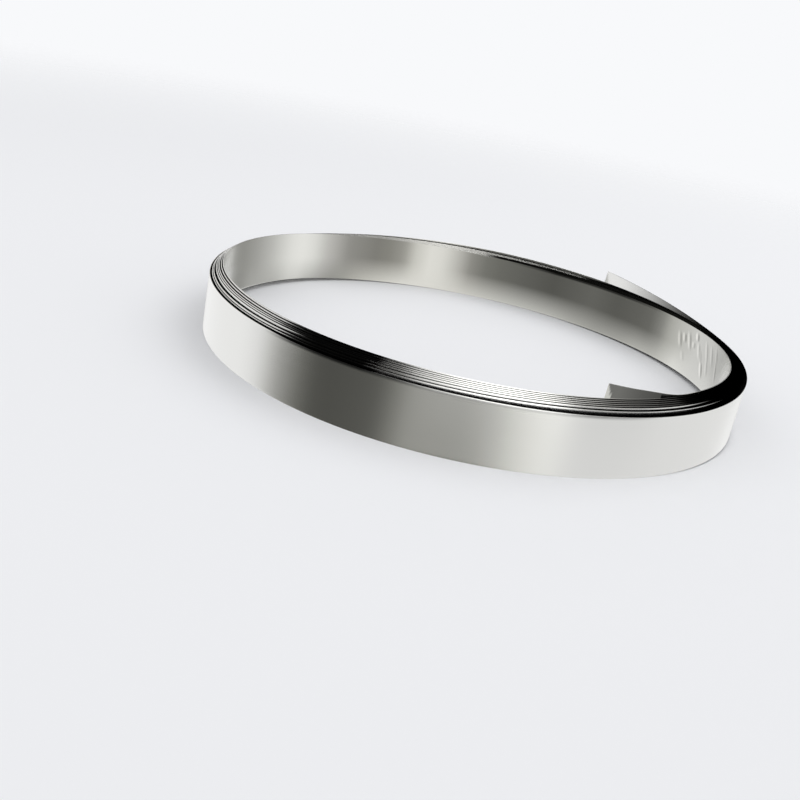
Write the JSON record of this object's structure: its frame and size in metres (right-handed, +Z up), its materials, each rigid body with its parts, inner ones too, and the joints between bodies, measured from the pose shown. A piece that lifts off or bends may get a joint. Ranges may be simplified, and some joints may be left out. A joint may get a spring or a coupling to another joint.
{
  "type": "stainless steel strip",
  "caption": "Narrow stainless steel strip wound flat into a ring-shaped coil, turns showing on both ends, with the inner and the outer cut end standing free.",
  "frame": {"origin": "middle of the part's box seen from above, on the plane that the outermost turn rests on; the axis of the winding stands 0.8 mm towards -X and 5.2 mm towards -Y from it", "axes": "+Z up, along the axis that the strip is wound about; +Y the way the free outer end reaches; +X towards the side where the last turn lies loose"},
  "size_m": [0.2982, 0.3122, 0.0382],
  "materials": {
    "strip": "bright cold-rolled"
  },
  "bodies": {
    "root": {"strip_coil": "strip"}
  },
  "joints": []
}
